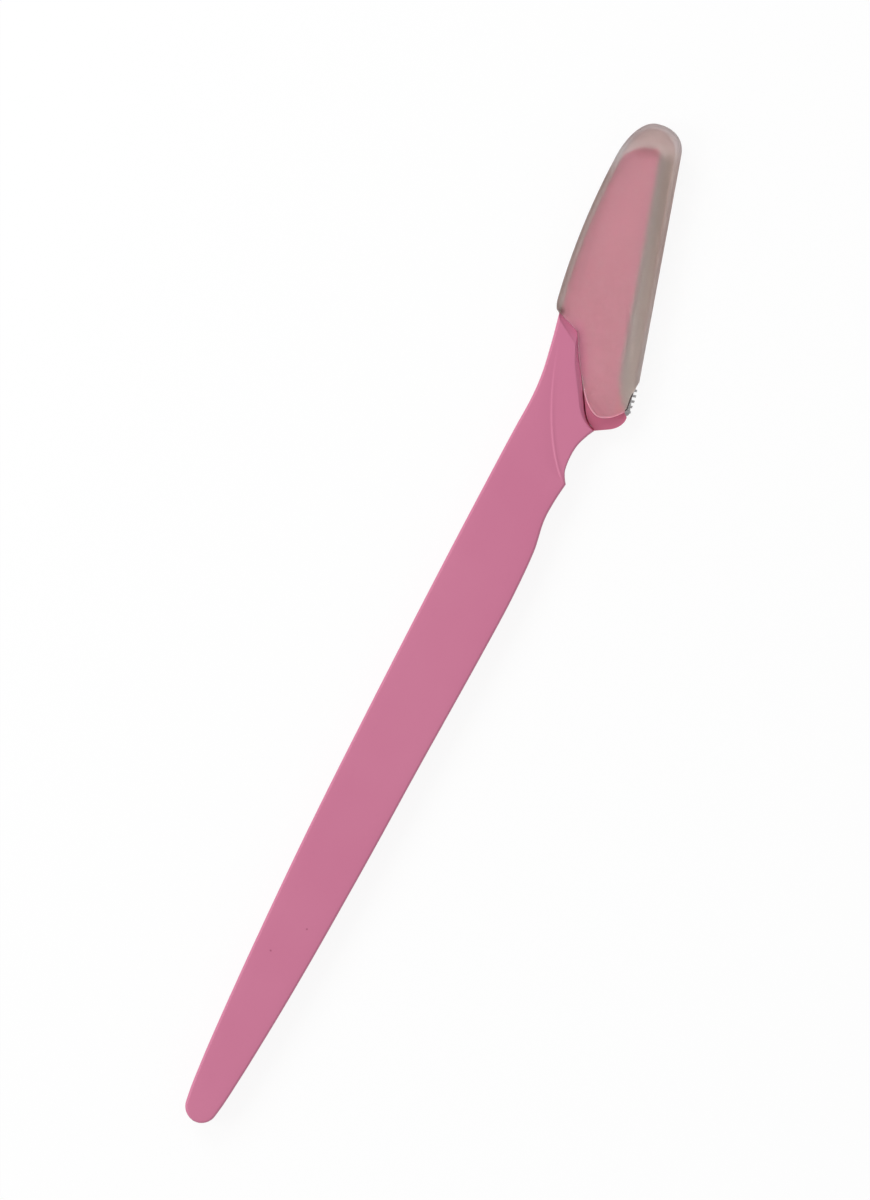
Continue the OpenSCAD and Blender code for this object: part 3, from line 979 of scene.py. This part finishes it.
    def _lay(self, bm: BMesh, starts: Array, ends: Array) -> None:
        """Moves the vertices of a unit grid to the top face, closer together near its edges.

        Args:
            bm: The grid, one unit across, centred on the origin.
            starts: Where its rows start, on the blade side.
            ends: Where they end, on the spine.
        """
        co = np.array([v.co for v in bm.verts]) + 0.5
        crowded = 0.5 - 0.5 * np.cos(math.pi * co[:, 0])
        share = (1 - self.crowding) * co[:, 0] + self.crowding * crowded
        row = np.rint(co[:, 1] * (len(starts) - 1)).astype(int)
        flat = starts[row] + (ends[row] - starts[row]) * share[:, None]
        width = np.linalg.norm(ends[row] - starts[row], axis=1)
        for vert, place, depth in zip(bm.verts, flat, self._depth(flat, width)):
            vert.co = (place[0], place[1], self.thickness - depth)

    def _depth(self, flat: Array, width: Array) -> Array:
        """Depth of the top face below the flat at each place.

        Args:
            flat: Places, as rows of x and y.
            width: Width of the face there.

        Returns:
            The depths.
        """
        grip_edge = self.front.part(0, self.chin)
        gap = np.minimum(grip_edge.nearest(flat)[0], self.spine.nearest(flat)[0])
        crown = self.crown_drop * np.clip(1 - gap / self.crown_reach, 0, 1) ** 2
        reach = np.minimum(self.edge_round, self.round_least + width * self.round_share)
        edge = crown + self.edge_drop * rounded(gap / reach)
        upper = blended_max(edge, self._neck(flat), self.neck_blend)
        return blended_max(upper, self._bevel(flat), self.bevel_blend)

    def _neck(self, flat: Array) -> Array:
        """Depth of the neck's scoop, with the dip and the low ridge along the swoosh.

        Args:
            flat: Places, as rows of x and y.

        Returns:
            The depths.
        """
        gap, _, side = self._swoosh().nearest(flat)
        step = np.clip(0.5 - gap * side / self.swoosh_width, 0, 1)
        step = step * step * (3 - 2 * step)
        fade = np.clip((self.crest_x + self.scoop_run - flat[:, 0]) / self.scoop_run, 0, 1)
        fade_in = np.clip((flat[:, 0] - self.crest_x + self.fade_lead) / self.fade_run, 0, 1)
        scoop = step * fade * self.scoop_depth
        off = gap * side - self.dip_from * self.swoosh_width
        dip = np.clip(off / self.dip_width, 0, 1)
        dip = dip * np.clip(1 - off / self.dip_reach, 0, 1) ** self.dip_power
        scoop += self.swoosh_dip * dip * np.sqrt(fade) * fade_in
        off = -gap * side - self.ridge_from * self.swoosh_width
        ridge = np.clip(off / self.ridge_width, 0, 1) * np.clip(1 - off / self.ridge_reach, 0, 1)
        return scoop + self.ridge_depth * ridge * np.sqrt(fade) * fade_in

    def _bevel(self, flat: Array) -> Array:
        """Depth of the bevel's two facets, with its foot and the rounding at the seam.

        Args:
            flat: Places, as rows of x and y.

        Returns:
            The depths.
        """
        gap, run, _ = self.seam.nearest(flat)
        share = run / self.seam.along[-1]
        drop = read_off(self.bevel_drops, share)
        bevel = drop * np.clip(1 - gap / read_off(self.bevel_widths, share), 0, 1)
        bevel = np.maximum(bevel, drop * self._shoulder(flat))
        foot = self.thickness - self.head_top - drop
        bevel += foot * np.clip(1 - gap / self.foot_width, 0, 1)
        return bevel + self.seam_drop * self.seam_round * rounded(gap / self.seam_round)

    def _shoulder(self, flat: Array) -> Array:
        """Share of the bevel's depth on the slanted shoulder, between the seam's corner and the spine.

        Args:
            flat: Places, as rows of x and y.

        Returns:
            The shares, 0 where the shoulder has run out.
        """
        points = self.seam.points
        corner = points[self.seam.corner_past(points[0, 0] + self.shoulder_from)]
        way = points[-1] - corner
        way /= np.linalg.norm(way)
        off = flat - corner
        ahead, gap = off @ way, np.abs(off[:, 0] * way[1] - off[:, 1] * way[0])
        width = np.maximum(self.shoulder_width - self.shoulder_taper * ahead, self.shoulder_least)
        return np.clip(1 - gap / width, 0, 1) ** self.shoulder_power

    def _swoosh(self) -> Line:
        """The line where the neck's scoop starts, from the crest up to the spine side.

        Returns:
            The line.
        """
        crest = self.front.at(self.front.run_at(self.crest_x))[0]
        corner, end = crest + np.array(self.swoosh_corner), crest + np.array(self.swoosh_end)
        a, b = crest + self.swoosh_pull * (corner - crest), end + self.swoosh_pull * (corner - end)
        u = np.linspace(0, 1, self.swoosh_points)[:, None]
        v = 1 - u
        curve = v**3 * crest + 3 * v**2 * u * a + 3 * v * u**2 * b + u**3 * end
        before = crest - self.swoosh_before * (corner - crest)
        return Line(np.vstack([before, curve, end + np.array(self.swoosh_past)]))


@dataclass
class Softened:
    """A piece of the razor that keeps a solid of the frame, with its sharp edges rounded."""

    name: str
    node: Node
    slot: Slot
    finish: SatinPlastic | GroundSteel | FrostedPlastic
    radius: float
    segments: int

    def piece(self) -> Piece:
        """Builds the piece and dresses it.

        Returns:
            The piece.
        """
        bm = frame_mesh(self.node, flats=True)
        self.shape(bm)
        piece = finished(self.name, bm, SMOOTH_ANGLE)
        soft = piece.modifiers.new("soft_edges", "BEVEL")
        soft.width = self.radius * MM
        soft.segments = self.segments
        soft.limit_method = "ANGLE"
        soft.angle_limit = math.radians(SHARP_ANGLE)
        soft.harden_normals = True
        return dressed(piece, self.finish.material(), Body.RAZOR, self.node)

    def shape(self, bm: BMesh) -> None:
        """Changes the copy of the solid before its edges are rounded; here it stays as it is."""


@dataclass
class Carrier(Softened):
    """The head, drawn out towards the cap along its spine.

    The table holds places along the head, with the share of the reach there.
    """

    lie: Lie | None = None
    reach: float = 0.24
    spine_depth: float = 0.1
    ends: tuple[Pair, ...] = ((14.5, 0), (17.0, 1), (36.6, 1), (38.6, 0))

    def shape(self, bm: BMesh) -> None:
        """Draws the spine out, less towards both of its ends.

        Args:
            bm: The copy of the solid.
        """
        along, across = self.lie.flat(np.array([v.co for v in bm.verts]))
        spine = self.lie.depth(along, across) < self.spine_depth
        step = self.reach * read_off(self.ends, along) * spine
        for vert, out in zip(bm.verts, step):
            vert.co += self.lie.sideways * out


@dataclass
class Guard(Softened):
    """The foil, whose fold stands out a little where the heel is bare.

    The bulge holds places along the head, with how far the fold stands out there.
    """

    lie: Lie | None = None
    bulge: tuple[Pair, ...] = (
        (0.7, 0), (1.5, 0.1), (2.5, 0.3), (3.5, 0.42), (4.3, 0.38), (4.8, 0),
    )
    fold: tuple[Pair, ...] = ((0.5, 1), (0.8, 0))

    def shape(self, bm: BMesh) -> None:
        """Draws the fold out at the bare heel.

        Args:
            bm: The copy of the solid.
        """
        along, across = self.lie.flat(np.array([v.co for v in bm.verts]))
        out = read_off(self.bulge, along) * read_off(self.fold, across)
        for vert, step in zip(bm.verts, out):
            vert.co -= self.lie.sideways * step


@dataclass
class Cap:
    """The pull-off cap: the frame's shell with soft edges, a painted highlight as a milky rim round its
    mouth, and painted shade as a near-black strip at the bare heel.

    Each row of the net holds the first cut, the end and the step, along the head and across it.
    """

    finish: FrostedPlastic
    rim_highlight_finish: FrostedPlastic
    heel_shade_finish: FrostedPlastic
    lie: Lie
    rim_width: float = 0.2
    rim_highlight_to: float = 2.9
    heel_shade_to: float = 5.0
    heel_below: float = 1.4
    level: float = 0.99
    flush: float = 0.01
    face_area: float = 50.0
    radius: float = 0.1
    segments: int = 3
    net: tuple[Triple, ...] = ((-0.45, 42, 0.95), (0.4, 14, 0.45))
    net_weld: float = 0.001
    corner_from: float = 15.0
    corner_run: float = 2.4
    corner_depth: float = 0.75
    corner_inner: float = 12.95
    corner_blend: float = 0.8
    corner_most: float = 1.3
    corner_above: float = 12.0
    corner_cuts: int = 8
    ring_height: float = 0.9
    ring_step: float = 0.08
    lip_below: float = 0.3
    lip_from: float = 5.0
    spine_past: float = 0.4
    tip_from: float = 38.0

    def __post_init__(self) -> None:
        """Reads the cap's thickness from the frame."""
        low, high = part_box(Node.CAP.value)
        self.thickness = (high.z - low.z) / MM

    def piece(self) -> Piece:
        """Builds the cap and dresses it.

        Returns:
            The piece.
        """
        bm = frame_mesh(Node.CAP, flats=True)
        bm.normal_update()
        level = [f for f in bm.faces if abs(f.normal.z) > self.level]
        faces = [f for f in level if f.calc_area() > self.face_area]
        mouth = [f for f in bm.faces if self._on_mouth(f)]
        strips = bmesh.ops.inset_region(
            bm, faces=faces, thickness=self.rim_width, use_even_offset=True, use_boundary=True
        )["faces"]
        rim = {e for f in mouth for e in f.edges}
        for face in mouth + [f for f in strips if any(e in rim for e in f.edges)]:
            along, across = self.lie.flat(np.array([face.calc_center_median()]))
            if across[0] > self.heel_below:
                # Painted highlight: faces by the mouth before this place take the milky rim finish.
                face.material_index = int(along[0] < self.rim_highlight_to)
            elif face.normal.z > self.level:
                # Painted shade: the top strips at the bare heel take the near-black finish.
                face.material_index = 2 * int(along[0] < self.heel_shade_to)
        angle = math.radians(SHARP_ANGLE)
        bmesh.ops.bevel(
            bm, geom=[e for e in bm.edges if e.is_manifold and e.calc_face_angle() > angle],
            offset=self.radius, segments=self.segments, profile=0.5, affect="EDGES",
            clamp_overlap=True, material=-1,
        )
        self._net(bm)
        self._round_corner(bm)
        self._note_margin(bm)
        piece = finished("frosted_cap", bm, SMOOTH_ANGLE)
        dressed(piece, self.finish.material(), Body.CAP, Node.CAP)
        # The second finish is the painted rim highlight, and the third is the painted heel shade.
        for finish in (self.rim_highlight_finish, self.heel_shade_finish):
            piece.data.materials.append(finish.material())
        return piece

    def _on_mouth(self, face: Face) -> bool:
        """Tells whether a face is part of the cut wall round the mouth.

        Args:
            face: The face.

        Returns:
            Whether the face stands upright and reaches an outer face of the cap.
        """
        heights = [v.co.z for v in face.verts]
        reaches = min(heights) < self.flush or max(heights) > self.thickness - self.flush
        return abs(face.normal.z) < self.flush and reaches

    def _net(self, bm: BMesh) -> None:
        """Cuts a net of edges into the cap, close enough to carry the margin.

        Args:
            bm: The cap.
        """
        for normal, spacing in zip((self.lie.lengthways, self.lie.sideways), self.net):
            for distance in np.arange(*spacing):
                bmesh.ops.bisect_plane(
                    bm, geom=whole(bm), dist=self.net_weld,
                    plane_co=self.lie.origin + normal * distance, plane_no=normal,
                )

    def _round_corner(self, bm: BMesh) -> None:
        """Draws the outer wall in where it ends at the mouth, on the spine side.

        Args:
            bm: The cap.
        """
        across, way, heel = self.lie.sideways, self.lie.lengthways, self.lie.origin
        for k in range(self.corner_cuts):
            at = heel + way * (self.corner_from - self.corner_run * k / (self.corner_cuts - 0.5))
            near = [
                f for f in bm.faces
                if (f.calc_center_median() - heel).dot(across) > self.corner_above
            ]
            edges = (e for f in near for e in f.edges)
            verts = (v for f in near for v in f.verts)
            parts = list(dict.fromkeys([*near, *edges, *verts]))
            bmesh.ops.bisect_plane(bm, geom=parts, dist=self.net_weld, plane_co=at, plane_no=way)
        for vert in bm.verts:
            place = vert.co - heel
            past = (self.corner_from - place.dot(way)) / self.corner_run
            share = (place.dot(across) - self.corner_inner) / self.corner_blend
            if past > 0 and share > 0:
                drawn = min(past, self.corner_most) ** 2 * min(share, 1)
                vert.co -= across * (self.corner_depth * drawn)

    def _note_margin(self, bm: BMesh) -> None:
        """Notes on each vertex how far inside the cap's outer outline it lies.

        Args:
            bm: The cap.
        """
        copy = bm.copy()
        ring = ring_at(copy, self.thickness * self.ring_height)
        copy.free()
        line = Line(np.vstack([ring, ring[:1]]))
        dense = line.at(np.arange(0, line.along[-1], self.ring_step))
        along, across = self.lie.flat(dense)
        lip = (across < self.lip_below) & (along > self.lip_from)
        spine = self.lie.depth(along, across) < -self.spine_past
        outer = dense[lip | spine | (along > self.tip_from)]
        layer = bm.verts.layers.float.new(MARGIN)
        for vert in bm.verts:
            vert[layer] = float(np.hypot(*(outer - np.array(vert.co.xy)).T).min())


@dataclass(frozen=True)
class Lamp:
    """A square soft lamp: its place from the picture's middle, in metres, its size and its power."""

    name: str
    right: float
    up: float
    height: float
    size: float
    power: float


@dataclass
class Studio:
    """The pale floor, the soft light and the camera straight above."""

    centre: Pair = (3.35, 3.01)
    frame_height: float = 171.4
    turn: float = -62.418
    lens: float = 150.0
    sensor: float = 36.0
    subject_height: float = 4.2
    clip: Pair = (0.01, 10)
    sky: float = 0.58
    lamps: tuple[Lamp, ...] = (
        Lamp("key", -0.3, 0.5, 0.5, 0.4, 2.15), Lamp("fill", -0.5, 0, 0.4, 0.35, 1.3),
    )
    floor_size: float = 3.0
    floor_tone: float = 0.93
    floor_roughness: float = 0.9
    floor_gloss: float = 0.1
    floor_lift: float = 0.9

    def build(self) -> None:
        """Makes the camera, the lamps, the world and the floor."""
        self._camera()
        self._world()
        self._lamps()
        self._floor()
        bpy.context.scene.view_settings.view_transform = "Standard"

    def _camera(self) -> None:
        """Hangs the camera straight above the picture's middle."""
        data = bpy.data.cameras.new("camera")
        data.lens, data.sensor_width = self.lens, self.sensor
        data.clip_start, data.clip_end = self.clip
        camera = bpy.data.objects.new("camera", data)
        height = self.frame_height * self.lens / self.sensor + self.subject_height
        camera.location = (self.centre[0] * MM, self.centre[1] * MM, height * MM)
        camera.rotation_euler = (0, 0, math.radians(self.turn))
        bpy.context.scene.collection.objects.link(camera)
        bpy.context.scene.camera = camera

    def _world(self) -> None:
        """Lights everything evenly from all round."""
        world = bpy.data.worlds.new("studio")
        world.use_nodes = True
        background = world.node_tree.nodes["Background"]
        background.inputs["Color"].default_value = (1, 1, 1, 1)
        background.inputs["Strength"].default_value = self.sky
        bpy.context.scene.world = world

    def _lamps(self) -> None:
        """Hangs the soft lamps."""
        turn = math.radians(self.turn)
        up = Vector((-math.sin(turn), math.cos(turn), 0))
        right = Vector((up.y, -up.x, 0))
        for lamp in self.lamps:
            data = bpy.data.lights.new(lamp.name, "AREA")
            data.shape, data.size, data.energy = "SQUARE", lamp.size, lamp.power
            hung = bpy.data.objects.new(lamp.name, data)
            hung.location = up * lamp.up + right * lamp.right + Vector((0, 0, lamp.height))
            hung.rotation_euler = (-hung.location).to_track_quat("-Z", "Y").to_euler()
            bpy.context.scene.collection.objects.link(hung)

    def _floor(self) -> None:
        """Lays the pale floor, which looks white and keeps the razor's shadow faintly."""
        bm = bmesh.new()
        bmesh.ops.create_grid(bm, x_segments=1, y_segments=1, size=self.floor_size)
        mesh = bpy.data.meshes.new("floor")
        bm.to_mesh(mesh)
        bm.free()
        floor = bpy.data.objects.new("floor", mesh)
        bpy.context.scene.collection.objects.link(floor)
        shader = Shader("floor_white")
        shader.steady(Roughness=self.floor_roughness, Specular_IOR_Level=self.floor_gloss)
        shader.surface.inputs["Base Color"].default_value = (*(self.floor_tone,) * 3, 1)
        path = shader.tree.nodes.new("ShaderNodeLightPath")
        seen = path.outputs["Is Camera Ray"]
        for ray in ("Is Glossy Ray", "Is Transmission Ray"):
            seen = shader.sums("MAXIMUM", seen, path.outputs[ray])
        white = shader.tree.nodes.new("ShaderNodeEmission")
        white.inputs["Color"].default_value = (1, 1, 1, 1)
        mix = shader.tree.nodes.new("ShaderNodeMixShader")
        shader.link(shader.sums("MULTIPLY", seen, self.floor_lift), mix.inputs["Fac"])
        shader.link(shader.surface.outputs["BSDF"], mix.inputs[1])
        shader.link(white.outputs["Emission"], mix.inputs[2])
        shader.link(mix.outputs["Shader"], shader.output.inputs["Surface"])
        floor.data.materials.append(shader.material)


def main() -> None:
    """Builds the razor around its frame, piece by piece, and the studio round it."""
    logging.basicConfig(level=logging.INFO, format="%(name)s: %(message)s")
    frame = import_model()
    slide = frame["joints"][0]["axis"]
    tilt = math.atan2(slide[1], slide[0])
    lie = Lie((39.48, -10.07), tilt)
    specks = ((-51.9, 0.63, 4.2), (-46.8, -2.54, 4.2))
    pink = SatinPlastic("pink_satin", (0.585, 0.18, 0.297), (0.57, 0.168, 0.285), specks=specks)
    # Painted shade: a darker, redder pink for the groove between handle and head, in place of the shade
    # that falls there.
    groove_shade_pink = SatinPlastic("groove_shade_pink_satin", (0.8, 0.02, 0.14), (0.76, 0.018, 0.13))
    head_pink = SatinPlastic("head_pink_satin", (0.58, 0.15, 0.245), (0.565, 0.14, 0.235))
    clamp_pink = SatinPlastic("clamp_pink_satin", (0.58, 0.18, 0.28), (0.56, 0.17, 0.265))
    steel = GroundSteel("strip_steel", (0.5, 0.49, 0.49), tilt + math.pi / 2)
    foil = GroundSteel("foil_steel", (0.55, 0.54, 0.54), tilt, roughness=0.25)
    # The lie gives the clear plastic its painted shade by place.
    frost = FrostedPlastic("frosted_clear", (1.0, 1.0, 0.97), lie)
    # Painted highlight: a milky, pinker finish for the rim round the cap's mouth, in place of the bright
    # line that light makes there.
    rim = FrostedPlastic("frosted_rim_highlight", (0.86, 0.44, 0.54), clear=0.45)
    # Painted shade: a near-black, less clear finish for the strip at the bare heel, in place of the dark
    # gap and shade there.
    heel = FrostedPlastic("frosted_heel_shade", (0.06, 0.04, 0.04), clear=0.2)
    Handle(pink, groove_shade_pink).piece()
    Carrier("head_carrier", Node.CARRIER, Slot.HEAD, head_pink, radius=0.12, segments=3, lie=lie).piece()
    Softened("blade_clamp_strip", Node.CLAMP, Slot.CLAMP, clamp_pink, radius=0.06, segments=2).piece()
    Softened("steel_strip", Node.BLADE, Slot.BLADE, steel, radius=0.01, segments=1).piece()
    Guard("guard_foil", Node.GUARD, Slot.GUARD, foil, radius=0.015, segments=1, lie=lie).piece()
    Cap(frost, rim, heel, lie).piece()
    Studio().build()


if __name__ == "__main__":
    main()
